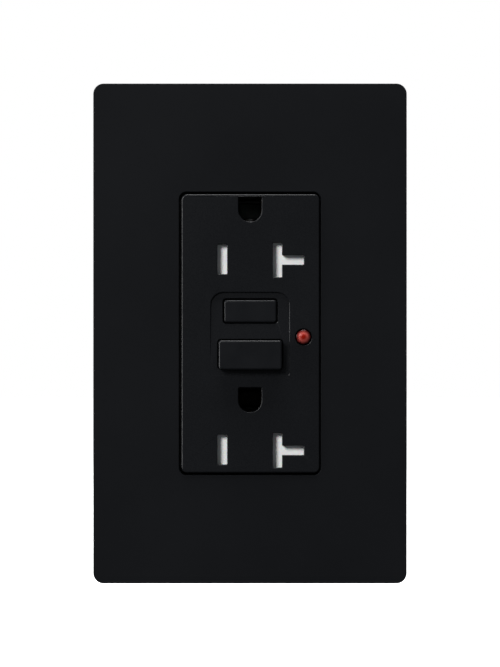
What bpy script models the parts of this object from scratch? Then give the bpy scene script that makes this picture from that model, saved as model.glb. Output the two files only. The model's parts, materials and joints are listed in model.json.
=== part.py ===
"""A tamper-resistant duplex ground-fault outlet with its screwless wall plate.

Lengths are millimetres in this file and metres in the scene. +Z is up, the outlet faces -Y, and +X is
on the right of someone who looks at its face. The origin is the middle of the wall plane, which is
the back of the mounting strap's ears.
"""

import math

import bmesh
import bpy
from mathutils import Matrix, Vector

MM = 0.001
GAP = 0.3  # left between pieces that touch
PAST = 1.0  # how far a cutter runs past the face it cuts
SHARP_ANGLE = 35  # degrees between faces that still look smooth

# Wall plate and the adapter that it snaps onto
PLATE_WIDTH = 74.7
PLATE_HEIGHT = 119.1
PLATE_FRONT = -7.6
PLATE_SKIN = 2.0
PLATE_WALL = 2.0
PLATE_CORNER = 2.5
WINDOW_WIDTH = 33.9
WINDOW_HEIGHT = 67.5
COLLAR = 1.2
ADAPTER_FRONT = -3.4
ADAPTER_SKIN = 1.6
ADAPTER_WALL = 1.4
ADAPTER_FIT = 0.35
SNAP_HEIGHTS = (-36.0, 0.0, 36.0)
SNAP_LENGTH = 8.0
SNAP_DEPTH = 1.3
SNAP_BACK = -1.8
COLLAR_CORNER = 2.0
THROUGH_ADAPTER = (-5, 1)
ADAPTER_SLOT = (6, 18, 2.9)
ADAPTER_SLOT_AT = (26, 22)
ADAPTER_HOLES = ((48.4, 2.0, 20), (41.67, 4.5, 28))  # height, radius and sides

# Device face and the cover behind it
FACE_WIDTH = 32.75
FACE_HEIGHT = 66.3
FACE_FRONT = -8.1
FACE_SKIN = 1.8
FACE_CORNER = 1.3
COVER_SIDE_WALL = 1.5
COVER_END_WALL = 0.65
FLANGE_FRONT = -1.3
FLANGE_BACK = 0.2
BODY_WIDTH = 42.8
BODY_HEIGHT = 68.0
BODY_WALL = 1.6
BODY_CORNER = 2.0
SPLIT = 1.7  # back edge of the front cover
BACK = 28.5
BACK_WALL = 1.7
RIM = 0.3  # step round the edge of the face
THROUGH_FACE = (-9, -5)

# Sockets: heights of the two blade rows and of the two ground holes
BLADE_ROWS = {"upper": 17.5, "lower": -27.85}
GROUND_ABOVE_BLADES = 11.9
SLOT_X = 6.5
HOT_SLOT = (2.5, 7.4)
T_STEM = (2.43, 8.4)
T_ARM_END = 13.03
T_ARM_HEIGHT = 2.35
GROUND_WIDTH = 5.5
GROUND_FLAT_ABOVE = 3.1  # flat top of the ground hole above the pin's centre
BLADE_X = 6.35
BLADE_HALF = 0.72

# Buttons, their shallow sloping panel, and the light
TEST_Z = 5.4
TEST_SIZE = (12.6, 5.7)
TEST_FRONT = -8.1
RESET_Z = -5.12
RESET_SIZE = (15.2, 7.05)
RESET_FRONT = -11.0
BUTTON_CORNER = 0.6
BUTTON_GAP = 0.3
BUTTON_FLANGE = 0.9
BUTTON_RIM = 0.35
BUTTON_BACK = -4.9
TEST_ROD = 1.1
RESET_ROD = 2.2
PANEL_HALF_WIDTH = 9.35
PANEL_TOP = 9.8
PANEL_DEPTH = 0.55
PANEL_CORNER = 3.0
PANEL_FOOT_DEPTH = 0.03
LIGHT_X = 12.74
LIGHT_Z = -0.83
LENS_RADIUS = 1.7
PIPE_RADIUS = 1.1
PIPE_BACK = 18.0

# Mounting strap
STRAP_THICK = 1.3
STRAP_LENGTH = 106.4
STRAP_INSET = 2.0  # front of the strap where it runs inside the body
BOX_SCREW_Z = 41.67
PLATE_SCREW_Z = 48.4
EAR_HALF_WIDTH = 15.5
NECK_HALF_WIDTH = 8.5
SPINE_HALF_WIDTH = 2.8
RING_HALF_HEIGHT = 9.2
GROUND_PAD = 5.5
GROUND_TAB_DROP = 1.3
GROUND_SCREW_AT = (-13.4, 6.0)

# Insides, from the front to the back
SHUTTER_AXIS_Y = -4.9
SHUTTER_AXIS_ABOVE = 5.15
SEPARATOR_FRONT = 5.0
SEPARATOR_FLOOR = 9.9
SEPARATOR_BACK = 11.2
SEPARATOR_HALF_WIDTH = 14.3
SEPARATOR_HALF_HEIGHT = 32.0
RIB = (3.5, 4.2)
ARM_FRONT = 12.3
ARM_PIVOT_Z = -14.5
ARM_X = 8.0
COIL_Z = -22.5
SOLENOID_Y = 15.8
BOARD_FRONT = 21.2
BOARD_THICK = 1.6

# Terminals, in pockets in the body's sides
POCKET_Z = 18.5
POCKET_HALF_HEIGHT = 7.5
POCKET_DEPTH = (5.0, 18.5)
POCKET_FLOOR = 16.2
POCKET_WALL = 1.5
TERMINAL_SCREW_Y = 13.6
THREAD_RADIUS = 1.9
SIDES = {"hot": -1, "neutral": 1}
ROWS = {"load": 1, "line": -1}
CORNER_SCREW = (17.9, 30.4)
PLATE_X = (16.5, 17.4)
CLAMP_X = (17.8, 18.7)
SCREW_HEAD_X = (21.2, 19.0)
SCREW_TIP_X = 12.5
WIRE_HOLE = (18.6, 3.4, 1.3)  # place across, place from the pocket's middle, and radius
HEAD_BORE = 2.9
HEAD_BORE_DEPTH = 2.2

COLOURS = {
    "plate_black": ((0.0086, 0.0091, 0.0103), 0.38, 0.0),
    "device_black": ((0.0086, 0.0091, 0.0103), 0.32, 0.0),
    "housing_black": ((0.012, 0.012, 0.013), 0.5, 0.0),
    "shutter_white": ((0.66, 0.66, 0.65), 0.4, 0.0),
    "lens_red": ((0.35, 0.02, 0.015), 0.12, 0.0),
    "zinc_steel": ((0.55, 0.56, 0.58), 0.35, 1.0),
    "nickel_screw": ((0.62, 0.61, 0.59), 0.3, 1.0),
    "brass": ((0.62, 0.43, 0.16), 0.3, 1.0),
    "green_screw": ((0.03, 0.22, 0.07), 0.35, 0.8),
    "spring_steel": ((0.45, 0.45, 0.46), 0.3, 1.0),
    "board_green": ((0.01, 0.09, 0.035), 0.45, 0.0),
    "copper_winding": ((0.48, 0.17, 0.07), 0.35, 0.9),
    "nylon_natural": ((0.6, 0.56, 0.46), 0.5, 0.0),
    "fibre_red": ((0.3, 0.05, 0.03), 0.75, 0.0),
    "varistor_blue": ((0.02, 0.09, 0.3), 0.45, 0.0),
    "chip_black": ((0.01, 0.01, 0.01), 0.6, 0.0),
}


def clear_scene():
    for obj in list(bpy.data.objects):
        bpy.data.objects.remove(obj)


def make_materials():
    for name, (colour, roughness, metallic) in COLOURS.items():
        material = bpy.data.materials.new(name)
        material.use_nodes = True
        shader = material.node_tree.nodes["Principled BSDF"]
        shader.inputs["Base Color"].default_value = (*colour, 1.0)
        shader.inputs["Roughness"].default_value = roughness
        shader.inputs["Metallic"].default_value = metallic


def point(axis, u, v, along):
    """A point in metres: (u, v) lie across the axis in X, Y, Z order, and along lies on it."""
    places = {"x": (along, u, v), "y": (u, along, v), "z": (u, v, along)}
    return Vector(places[axis]) * MM


def shape(make_faces):
    """An object that holds the closed mesh that make_faces builds, with its faces turned outwards."""
    mesh = bpy.data.meshes.new("shape")
    work = bmesh.new()
    make_faces(work)
    bmesh.ops.recalc_face_normals(work, faces=work.faces)
    work.to_mesh(mesh)
    work.free()
    obj = bpy.data.objects.new("shape", mesh)
    bpy.context.scene.collection.objects.link(obj)
    return obj


def prism(axis, outline, low, high):
    """An outline across the axis, extruded from low to high along it."""

    def make_faces(work):
        base = work.faces.new([work.verts.new(point(axis, u, v, low)) for u, v in outline])
        raised = bmesh.ops.extrude_face_region(work, geom=[base])
        moved = [item for item in raised["geom"] if isinstance(item, bmesh.types.BMVert)]
        bmesh.ops.translate(work, vec=point(axis, 0, 0, high - low), verts=moved)

    return shape(make_faces)


def box(x, y, z):
    outline = [(x[0], z[0]), (x[1], z[0]), (x[1], z[1]), (x[0], z[1])]
    return prism("y", outline, *y)


def centred_box(half_width, y, z):
    return box((-half_width, half_width), y, z)


def arc(centre, radius, start, stop, steps):
    """Points on a circle from one angle to another, in degrees."""
    turns = [math.radians(start + (stop - start) * step / steps) for step in range(steps + 1)]
    return [(centre[0] + radius * math.cos(a), centre[1] + radius * math.sin(a)) for a in turns]


def rounded(width, height, radius, centre=(0, 0), steps=5):
    """The outline of a rectangle with round corners."""
    across = width / 2 - radius
    up = height / 2 - radius
    corners = ((across, up, 0), (-across, up, 90), (-across, -up, 180), (across, -up, 270))
    outline = []
    for x, z, start in corners:
        outline += arc((centre[0] + x, centre[1] + z), radius, start, start + 90, steps)
    return outline


def slab(width, height, radius, low, high, centre=(0, 0), steps=5):
    return prism("y", rounded(width, height, radius, centre, steps), low, high)


def rod(axis, centre, radius, low, high, sides=20):
    outline = arc(centre, radius, 0, 360 - 360 / sides, sides - 1)
    return prism(axis, outline, low, high)


def turned(axis, centre, profile, sides=20, ring=False):
    """A profile of (radius, along) turned about the axis. A ring's profile closes on itself."""

    def make_faces(work):
        angles = [2 * math.pi * side / sides for side in range(sides)]
        loops = []
        for radius, along in profile:
            if radius == 0:
                loops.append([work.verts.new(point(axis, *centre, along))] * sides)
                continue
            across = [(centre[0] + radius * math.cos(a), centre[1] + radius * math.sin(a)) for a in angles]
            loops.append([work.verts.new(point(axis, u, v, along)) for u, v in across])
        pairs = list(zip(loops, loops[1:]))
        if ring:
            pairs.append((loops[-1], loops[0]))
        for lower, upper in pairs:
            for side in range(sides):
                after = (side + 1) % sides
                corners = [lower[side], lower[after], upper[after], upper[side]]
                work.faces.new(list(dict.fromkeys(corners)))

    return shape(make_faces)


def finish(obj, name, material, pivot=(0, 0, 0)):
    """Names the piece, gives it its material, and puts its origin at pivot."""
    obj.name = name
    origin = Vector(pivot) * MM
    obj.data.transform(Matrix.Translation(-origin))
    obj.location = origin
    obj.data.materials.clear()
    obj.data.materials.append(bpy.data.materials[material])
    obj.parent = bpy.data.objects["gfci_outlet"]
    if obj.type == "MESH":
        obj.data.name = name
        obj.data.shade_smooth()
        obj.data.set_sharp_from_angle(angle=math.radians(SHARP_ANGLE))
    return obj


def solid(name, material, adds, cuts=(), pivot=(0, 0, 0)):
    """One piece: the union of adds, less the cuts."""
    body = adds[0]
    tools = [("UNION", tool) for tool in adds[1:]] + [("DIFFERENCE", tool) for tool in cuts]
    for operation, tool in tools:
        modifier = body.modifiers.new(operation.title(), "BOOLEAN")
        modifier.operation = operation
        modifier.solver = "EXACT"
        modifier.object = tool
    if tools:
        graph = bpy.context.evaluated_depsgraph_get()
        mesh = bpy.data.meshes.new_from_object(body.evaluated_get(graph))
        body.modifiers.clear()
        body.data = mesh
    for _, tool in tools:
        bpy.data.objects.remove(tool)
    return finish(body, name, material, pivot)


def wire(name, material, points, radius, pivot=(0, 0, 0)):
    """A round wire through points in millimetres."""
    curve = bpy.data.curves.new(name, "CURVE")
    curve.dimensions = "3D"
    curve.bevel_depth = radius * MM
    curve.bevel_resolution = 0
    curve.use_fill_caps = True
    spline = curve.splines.new("POLY")
    spline.points.add(len(points) - 1)
    for place, where in zip(spline.points, points):
        place.co = (*(Vector(where) * MM), 1.0)
    obj = bpy.data.objects.new(name, curve)
    bpy.context.scene.collection.objects.link(obj)
    return finish(obj, name, material, pivot)


def helix(axis, centre, radius, low, high, turns, per_turn=9):
    """Points in millimetres along a coil of wire."""
    count = round(turns * per_turn)
    points = []
    for step in range(count + 1):
        angle = 2 * math.pi * turns * step / count
        across = (centre[0] + radius * math.cos(angle), centre[1] + radius * math.sin(angle))
        along = low + (high - low) * step / count
        points.append(point(axis, *across, along) / MM)
    return points


def t_outline(row_z):
    """The T-shaped slot for 15 A and 20 A blades, with its arm on the outer side."""
    x = SLOT_X
    width, height = T_STEM
    arm = T_ARM_HEIGHT / 2
    left, right = x - width / 2, x + width / 2
    low, high = row_z - height / 2, row_z + height / 2
    stem = [(left, low), (right, low), (right, row_z - arm), (T_ARM_END, row_z - arm)]
    return stem + [(T_ARM_END, row_z + arm), (right, row_z + arm), (right, high), (left, high)]


def ground_outline(pin_z):
    """The ground hole: flat on top, round below."""
    radius = GROUND_WIDTH / 2
    top = pin_z + GROUND_FLAT_ABOVE
    return [(radius, top), (-radius, top)] + arc((0, pin_z), radius, 180, 360, 12)


def wall_plate():
    inner_width = PLATE_WIDTH - 2 * PLATE_WALL
    inner_height = PLATE_HEIGHT - 2 * PLATE_WALL
    inner_front = PLATE_FRONT + PLATE_SKIN
    outer = slab(PLATE_WIDTH, PLATE_HEIGHT, PLATE_CORNER, PLATE_FRONT, 0)
    collar_size = (WINDOW_WIDTH + 2 * COLLAR, WINDOW_HEIGHT + 2 * COLLAR)
    collar = slab(*collar_size, COLLAR_CORNER, inner_front - PAST, ADAPTER_FRONT - GAP)
    hollow = slab(inner_width, inner_height, 1.0, inner_front, PAST)
    shell = solid("shell", "plate_black", [outer], [hollow])
    adds = [shell, collar]
    for side in (-1, 1):
        for z in SNAP_HEIGHTS:
            x = side * inner_width / 2
            tab_x = sorted((x + side * 0.5, x - side * (SNAP_DEPTH - GAP)))
            reach = SNAP_LENGTH / 2 - GAP
            adds.append(box(tab_x, (inner_front - 0.5, SNAP_BACK), (z - reach, z + reach)))
    window = slab(WINDOW_WIDTH, WINDOW_HEIGHT, FACE_CORNER + 0.4, PLATE_FRONT - PAST, PAST)
    solid("wall_plate", "plate_black", adds, [window])


def plate_adapter():
    clear = PLATE_WALL + ADAPTER_FIT
    width = PLATE_WIDTH - 2 * clear
    height = PLATE_HEIGHT - 2 * clear
    back = ADAPTER_FRONT + ADAPTER_SKIN
    outer = slab(width, height, 1.2, ADAPTER_FRONT, -0.2)
    inner = (width - 2 * ADAPTER_WALL, height - 2 * ADAPTER_WALL)
    cuts = [
        slab(*inner, 1.0, back, PAST),
        slab(FACE_WIDTH + 1.3, FACE_HEIGHT + 1.3, 1.5, *THROUGH_ADAPTER),
    ]
    for side in (-1, 1):
        for height, radius, sides in ADAPTER_HOLES:
            cuts.append(rod("y", (0, side * height), radius, *THROUGH_ADAPTER, sides))
        for end in (-1, 1):
            centre = (side * ADAPTER_SLOT_AT[0], end * ADAPTER_SLOT_AT[1])
            cuts.append(slab(*ADAPTER_SLOT, *THROUGH_ADAPTER, centre))
        for z in SNAP_HEIGHTS:
            x = side * width / 2
            notch_x = sorted((x + side, x - side * (SNAP_DEPTH + 0.1)))
            cuts.append(box(notch_x, THROUGH_ADAPTER, (z - SNAP_LENGTH / 2, z + SNAP_LENGTH / 2)))
    solid("plate_adapter", "plate_black", [outer], cuts)


def slotted_screw(name, material, axis, centre, head, tip, head_radius, radius, slot, pivot=(0, 0, 0)):
    """A pan-head screw. head is its slotted top and its seat along the axis, and tip is its far end."""
    top, seat = head
    inward = 1 if seat > top else -1
    height = abs(seat - top)
    rim = top + inward * 0.35 * height
    taper = tip - inward * radius * 0.6
    profile = [(0, top), (head_radius * 0.7, top), (head_radius, rim), (head_radius, seat)]
    profile += [(radius, seat), (radius, taper), (radius * 0.5, tip), (0, tip)]
    body = turned(axis, centre, profile, 16)
    u, v = centre
    reach, half = head_radius + PAST, slot / 2
    outline = [(u - reach, v - half), (u + reach, v - half), (u + reach, v + half), (u - reach, v + half)]
    cut = prism(axis, outline, *sorted((top - inward * PAST, top + inward * 0.45 * height)))
    return solid(name, material, [body], [cut], pivot)


def mounting_screws():
    for end, side in (("upper", 1), ("lower", -1)):
        plate_z = side * PLATE_SCREW_Z
        box_z = side * BOX_SCREW_Z
        plate_head = (-5.2, -3.7)
        box_head = (-3.8, -1.6)
        slotted_screw(f"adapter_screw_{end}", "plate_black", "y", (0, plate_z), plate_head, 6, 3.2, 1.6, 0.8)
        slotted_screw(f"box_screw_{end}", "zinc_steel", "y", (0, box_z), box_head, 20, 3.8, 1.7, 1.0)
        washer = slab(7.5, 7.5, 0.6, GAP, GAP + 0.7, (0, box_z), 2)
        hole = rod("y", (0, box_z), 2.0, -1, 3)
        solid(f"screw_retainer_{end}", "fibre_red", [washer], [hole])


def ear_outline(side):
    """One ear of the strap, from the body's end outwards."""
    neck = BODY_HEIGHT / 2 + GAP
    tip = STRAP_LENGTH / 2
    across = EAR_HALF_WIDTH
    right = [(NECK_HALF_WIDTH, neck), (NECK_HALF_WIDTH, 37.2), (across, 39.5)]
    right += arc((across - 3, tip - 3), 3, 0, 90, 5)
    left = [(-x, z) for x, z in reversed(right)]
    return [(x, side * z) for x, z in right + left]


def yoke_strap():
    inside = (STRAP_INSET, STRAP_INSET + STRAP_THICK)
    end = BODY_HEIGHT / 2 + GAP
    adds = []
    cuts = []
    for side in (1, -1):
        rise = sorted((side * end, side * (end + STRAP_THICK)))
        entry = sorted((side * (end - 1.7), side * (end + STRAP_THICK)))
        adds.append(prism("y", ear_outline(side), -STRAP_THICK, 0))
        adds.append(centred_box(NECK_HALF_WIDTH, (-STRAP_THICK, inside[1]), rise))
        adds.append(centred_box(NECK_HALF_WIDTH, inside, entry))
        cuts.append(slab(7.6, 4.2, 2.0, -3, 1.5, (0, side * BOX_SCREW_Z)))
        cuts.append(rod("y", (0, side * PLATE_SCREW_Z), 1.95, -3, 1))
    ring = slab(21.0, 19.4, 1.5, *inside)
    ring_window = slab(17.6, 16.6, 1.0, 0, 5)
    adds.append(ring)
    for side in (1, -1):
        spine_z = sorted((side * RING_HALF_HEIGHT, side * BODY_HEIGHT / 2))
        adds.append(centred_box(SPINE_HALF_WIDTH, inside, spine_z))
    for row_z in BLADE_ROWS.values():
        pin_z = row_z + GROUND_ABOVE_BLADES
        adds.append(centred_box(GROUND_PAD, inside, (pin_z - 4.5, pin_z + 4.5)))
        cuts.append(slab(6.4, 6.4, 1.0, 0, 5, (0, pin_z), 3))
    tab_top = -end - GROUND_TAB_DROP
    tab_z = (tab_top - STRAP_THICK, tab_top)
    adds.append(box((-17.5, -NECK_HALF_WIDTH + 1), (-STRAP_THICK, 0), tab_z))
    adds.append(box((-17.5, -9.3), (-STRAP_THICK, 11.5), tab_z))
    cuts += [ring_window, rod("z", GROUND_SCREW_AT, 2.2, -40, -30)]
    solid("yoke_strap", "zinc_steel", adds, cuts)


def ground_screw():
    tip = -BODY_HEIGHT / 2 - GAP
    seat = tip - STRAP_THICK - GROUND_TAB_DROP - GAP
    head = (seat - 2.4, seat)
    place = GROUND_SCREW_AT
    slotted_screw("ground_screw", "green_screw", "z", place, head, tip, 4.0, THREAD_RADIUS, 1.0, (*place, seat))


def front_cover():
    inner = FACE_FRONT + FACE_SKIN
    cavity = (FACE_WIDTH - 2 * COVER_SIDE_WALL, FACE_HEIGHT - 2 * COVER_END_WALL)
    boss = slab(FACE_WIDTH, FACE_HEIGHT, FACE_CORNER, FACE_FRONT + RIM, FLANGE_BACK)
    lip_size = (FACE_WIDTH - 2 * RIM, FACE_HEIGHT - 2 * RIM)
    lip = slab(*lip_size, FACE_CORNER - RIM, FACE_FRONT, FACE_FRONT + 1)
    flange = slab(BODY_WIDTH, BODY_HEIGHT, BODY_CORNER, FLANGE_FRONT, SPLIT)
    skirt = (BODY_WIDTH - 2 * BODY_WALL + 0.2, BODY_HEIGHT - 2 * BODY_WALL + 0.2)
    hollow = slab(*cavity, 0.5, inner, 5)
    recess = slab(*skirt, 1.0, FLANGE_BACK, 5)
    body = solid("body", "device_black", [boss, lip, flange], [hollow, recess])
    adds = [body]
    x, z = CORNER_SCREW
    for side in (-1, 1):
        for end in (-1, 1):
            post_x = sorted((side * 15.4, side * 20.6))
            post_z = sorted((end * 27.6, end * 33.2))
            adds.append(box(post_x, (FLANGE_BACK - 0.6, SPLIT), post_z))
    cuts = [panel_wedge()]
    for side in (-1, 1):
        for end in (-1, 1):
            cuts.append(rod("y", (side * x, end * z), 1.5, -0.9, 3, 12))
    for front_size, centre_z in ((TEST_SIZE, TEST_Z), (RESET_SIZE, RESET_Z)):
        width, height = (size + 2 * BUTTON_GAP for size in front_size)
        cuts.append(slab(width, height, BUTTON_CORNER + 0.2, *THROUGH_FACE, (0, centre_z), 3))
    for row_z in BLADE_ROWS.values():
        cuts.append(slab(*HOT_SLOT, 0.2, *THROUGH_FACE, (-SLOT_X, row_z), 1))
        cuts.append(prism("y", t_outline(row_z), *THROUGH_FACE))
        cuts.append(prism("y", ground_outline(row_z + GROUND_ABOVE_BLADES), -9, 3))
    cuts.append(rod("y", (LIGHT_X, LIGHT_Z), LENS_RADIUS + 0.25, *THROUGH_FACE, 24))
    solid("front_cover", "device_black", adds, cuts)


def panel_wedge():
    """The cutter for the panel round the buttons: deepest along its top, and level with the face at its foot."""
    half = PANEL_HALF_WIDTH
    radius = PANEL_CORNER
    corner_z = PANEL_TOP - radius
    outline = arc((half - radius, corner_z), radius, 0, 90, 6)
    outline += arc((-half + radius, corner_z), radius, 90, 180, 6)
    outline += [(-half, -PANEL_TOP), (half, -PANEL_TOP)]
    block = prism("y", outline, FACE_FRONT - 1, FACE_FRONT + 1)
    floor = FACE_FRONT + PANEL_DEPTH
    above = [(floor, PANEL_TOP + 1), (floor + 3, PANEL_TOP + 1), (floor + 3, -PANEL_TOP - 1)]
    below = prism("x", above + [(FACE_FRONT + PANEL_FOOT_DEPTH, -PANEL_TOP - 1)], -half - 1, half + 1)
    return solid("panel_wedge", "device_black", [block], [below])


def buttons():
    back = BUTTON_BACK
    flange = (back - 1.0, back)
    rim = BUTTON_RIM
    for name, size, z, front in (
        ("test_button", TEST_SIZE, TEST_Z, TEST_FRONT),
        ("reset_button", RESET_SIZE, RESET_Z, RESET_FRONT),
    ):
        cap = slab(*size, BUTTON_CORNER, front + rim, back, (0, z), 3)
        small = [side - 2 * rim for side in size]
        top = slab(*small, BUTTON_CORNER - 0.3, front, front + rim + 0.5, (0, z), 3)
        wide = [side + 2 * BUTTON_FLANGE for side in size]
        stop = slab(*wide, 0.5, *flange, (0, z), 2)
        adds = [cap, top, stop]
        cuts = []
        if name == "test_button":
            adds.append(rod("y", (0, z), TEST_ROD, back - 0.5, ARM_FRONT - 0.6, 16))
        else:
            adds.append(rod("y", (0, z), RESET_ROD, back - 0.5, -2.0, 16))
            cuts.append(rod("y", (0, z), 1.3, -4.5, 0, 16))
        solid(name, "device_black", adds, cuts, (0, front, z))


def reset_mechanism():
    z = RESET_Z
    pin = [(0, -4.2), (1.0, -4.2), (1.0, 16.9), (0.5, 17.8), (0, 17.8)]
    finish(turned("y", (0, z), pin, 16), "reset_pin", "zinc_steel", (0, -4.2, z))
    wire("reset_spring", "spring_steel", helix("y", (0, z), 2.55, -1.4, SEPARATOR_FLOOR - 0.6, 6), 0.25)
    body = box((-5.0, 5.0), (13.3, 18.5), (-8.9, -1.9))
    wings = box((-10.2, 10.2), (13.3, 14.5), (-3.8, -1.9))
    bore = rod("y", (0, z), 1.4, 12, 20, 16)
    guide = box((-3.0, 3.0), (14.7, 16.1), (-12, 2))
    solid("latch_block", "nylon_natural", [body, wings], [bore, guide], (0, 13.3, z))
    plate = box((-2.6, 2.6), (15.0, 15.8), (-10.4, -0.5))
    hole = slab(2.8, 4.4, 1.35, 14, 17, (0, z + 0.7))
    solid("latch_plate", "zinc_steel", [plate], [hole], (0, 15.4, z))


def shutters():
    for name, row_z in BLADE_ROWS.items():
        axis_z = row_z + SHUTTER_AXIS_ABOVE
        axis = (SHUTTER_AXIS_Y, axis_z)
        foot = row_z - T_STEM[1] / 2 - 0.1
        front = FACE_FRONT + FACE_SKIN + GAP
        adds = [rod("x", axis, 0.5, -9.6, 14.1, 12)]
        for x in ((-8.4, -4.6), (4.8, 13.4)):
            adds.append(box(x, (front, front + 1.0), (foot, axis_z + 0.3)))
            adds.append(box(x, (front, SHUTTER_AXIS_Y + 0.45), (axis_z - 0.5, axis_z + 0.5)))
        solid(f"shutter_{name}", "shutter_white", adds, (), (0, *axis))
        bar = box((-10.9, 14.6), (front, -3.6), (axis_z + 1.7, axis_z + 2.8))
        lugs = [box(x, (front, -3.9), (axis_z - 1.1, axis_z + 2.2)) for x in ((-10.9, -8.8), (13.7, 14.6))]
        hole = rod("x", axis, 0.8, -9.9, 15, 12)
        solid(f"shutter_bracket_{name}", "nylon_natural", [bar] + lugs, [hole])
        coil = helix("x", axis, 0.95, -2.0, 1.6, 5)
        leg_low = (-3.6, SHUTTER_AXIS_Y + 0.95, axis_z - 0.9)
        leg_high = (2.4, SHUTTER_AXIS_Y + 0.95, axis_z + 1.2)
        wire(f"shutter_spring_{name}", "spring_steel", [leg_low] + coil + [leg_high], 0.14)


def leaf_pair(x, z_low, z_high, front, back):
    """Two brass leaves that grip an upright blade."""
    inner, outer = BLADE_HALF, BLADE_HALF + 0.7
    return [
        box((x - outer, x - inner), (front, back), (z_low, z_high)),
        box((x + inner, x + outer), (front, back), (z_low, z_high)),
    ]


def contact_strips():
    front = SEPARATOR_FRONT + 0.2
    plate = (8.9, 9.6)
    for pole, side in SIDES.items():
        centre = side * BLADE_X
        strip_x = sorted((side * 4.55, side * 10.0))
        adds = [box(strip_x, plate, (-31.1, 21.2)), rod("y", (side * ARM_X, 1.0), 1.5, 9.0, ARM_FRONT - 0.6, 16)]
        cuts = []
        for row_z in BLADE_ROWS.values():
            low, high = row_z - 3.2, row_z + 3.2
            adds += leaf_pair(centre, low, high, front, 9.3)
            cuts.append(box((centre - BLADE_HALF, centre + BLADE_HALF), (3, 12), (low + 0.5, high - 0.5)))
            if pole == "neutral":
                outer = BLADE_HALF + 0.7
                adds.append(box((9.0, 12.6), plate, (row_z - outer, row_z + outer)))
                for leaf in (-1, 1):
                    leaf_z = sorted((row_z + leaf * BLADE_HALF, row_z + leaf * outer))
                    adds.append(box((8.6, 12.6), (front, 9.3), leaf_z))
                cuts.append(box((centre, 12.7), (3, 12), (row_z - BLADE_HALF, row_z + BLADE_HALF)))
        solid(f"{pole}_contact_strip", "brass", adds, cuts)


def ground_contacts():
    top = STRAP_INSET + STRAP_THICK + GAP
    for name, row_z in BLADE_ROWS.items():
        pin_z = row_z + GROUND_ABOVE_BLADES
        base = centred_box(4.8, (top, top + 0.8), (pin_z - 4.3, pin_z + 2.4))
        gate = centred_box(2.9, (top - 1, top + 2), (pin_z - 2.9, pin_z + 5))
        plate = solid("plate", "brass", [base], [gate])
        leaves = [
            box(x, (top, 13.0), (pin_z - 2.0, pin_z + 2.0)) for x in ((-3.15, -2.45), (2.45, 3.15))
        ]
        solid(f"ground_contact_{name}", "brass", [plate] + leaves)


def separator():
    """The moulded tray that holds the contact strips apart, in front of the switching parts."""
    half = SEPARATOR_HALF_WIDTH
    tall = SEPARATOR_HALF_HEIGHT
    floor = (SEPARATOR_FLOOR, SEPARATOR_BACK)
    outer = centred_box(half, (SEPARATOR_FRONT, SEPARATOR_BACK), (-tall, tall))
    inner = centred_box(half - 1.3, (SEPARATOR_FRONT - 1, SEPARATOR_FLOOR), (-tall + 0.6, tall - 0.6))
    tray = solid("tray", "housing_black", [outer], [inner])
    adds = [tray, centred_box(19.4, floor, (-9.2, 9.2))]
    for side in (-1, 1):
        rib_x = sorted(side * x for x in RIB)
        adds.append(box(rib_x, (SEPARATOR_FRONT, SEPARATOR_FLOOR + 0.5), (-tall + 0.3, tall - 0.3)))
    cuts = [
        rod("y", (0, RESET_Z), 1.6, 8, 13, 16),
        rod("y", (0, TEST_Z), 1.8, 8, 13, 16),
        box((LIGHT_X - 1.5, 20), (4, 12), (LIGHT_Z - 1.6, LIGHT_Z + 1.6)),
    ]
    for row_z in BLADE_ROWS.values():
        pin_z = row_z + GROUND_ABOVE_BLADES
        cuts.append(centred_box(3.5, (8, 13), (pin_z - 2.5, pin_z + 2.5)))
    for side in (-1, 1):
        cuts.append(rod("y", (side * ARM_X, 1.0), 1.9, 8, 13, 16))
    solid("separator", "housing_black", adds, cuts)


def switching_parts():
    """The two arms that the latch block opens, and the leaf that the test button bends."""
    pivot_y = ARM_FRONT + 0.3
    for pole, side in SIDES.items():
        x = side * ARM_X
        leaf = box((x - 1.2, x + 1.2), (ARM_FRONT, ARM_FRONT + 0.6), (ARM_PIVOT_Z - 2.4, 2.6))
        foot = box((x - 1.2, x + 1.2), (ARM_FRONT, ARM_FRONT + 1.6), (ARM_PIVOT_Z - 2.4, ARM_PIVOT_Z - 0.6))
        button = rod("y", (x, 1.0), 1.3, ARM_FRONT - 0.3, ARM_FRONT + 0.3, 16)
        solid(f"contact_arm_{pole}", "brass", [leaf, foot, button], (), (x, pivot_y, ARM_PIVOT_Z))
    blade = box((-2.0, 12.4), (12.0, 12.5), (TEST_Z - 1.0, TEST_Z + 0.8))
    post = box((10.8, 12.4), (12.0, BOARD_FRONT - GAP), (TEST_Z - 1.0, TEST_Z + 0.8))
    solid("test_contact", "spring_steel", [blade, post], (), (11.6, 12.25, TEST_Z))


def indicator():
    place = (LIGHT_X, LIGHT_Z)
    dome = [(0, -8.75), (0.7, -8.62), (1.25, -8.33), (LENS_RADIUS, -7.9), (LENS_RADIUS, -6.2)]
    pipe = [(PIPE_RADIUS, -6.2), (PIPE_RADIUS, PIPE_BACK), (0, PIPE_BACK)]
    finish(turned("y", place, dome + pipe, 24), "indicator_lens", "lens_red")
    bulb = [(0, 18.4), (0.9, 18.6), (1.3, 19.1), (1.3, 20.1), (1.6, 20.1), (1.6, 20.9), (0, 20.9)]
    finish(turned("y", place, bulb, 16), "indicator_lamp", "lens_red")


def ring_coil(name, material, outer, inner, front, back):
    bevel = 0.6
    profile = [(inner, front + bevel), (inner + bevel, front), (outer - bevel, front), (outer, front + bevel)]
    profile += [(outer, back - bevel), (outer - bevel, back), (inner + bevel, back), (inner, back - bevel)]
    finish(turned("y", (0, COIL_Z), profile, 24, ring=True), name, material)


def coils():
    ring_coil("sensing_coil", "housing_black", 9.0, 4.6, 14.3, 17.3)
    ring_coil("neutral_coil", "copper_winding", 8.4, 4.6, 17.7, 20.7)


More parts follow.
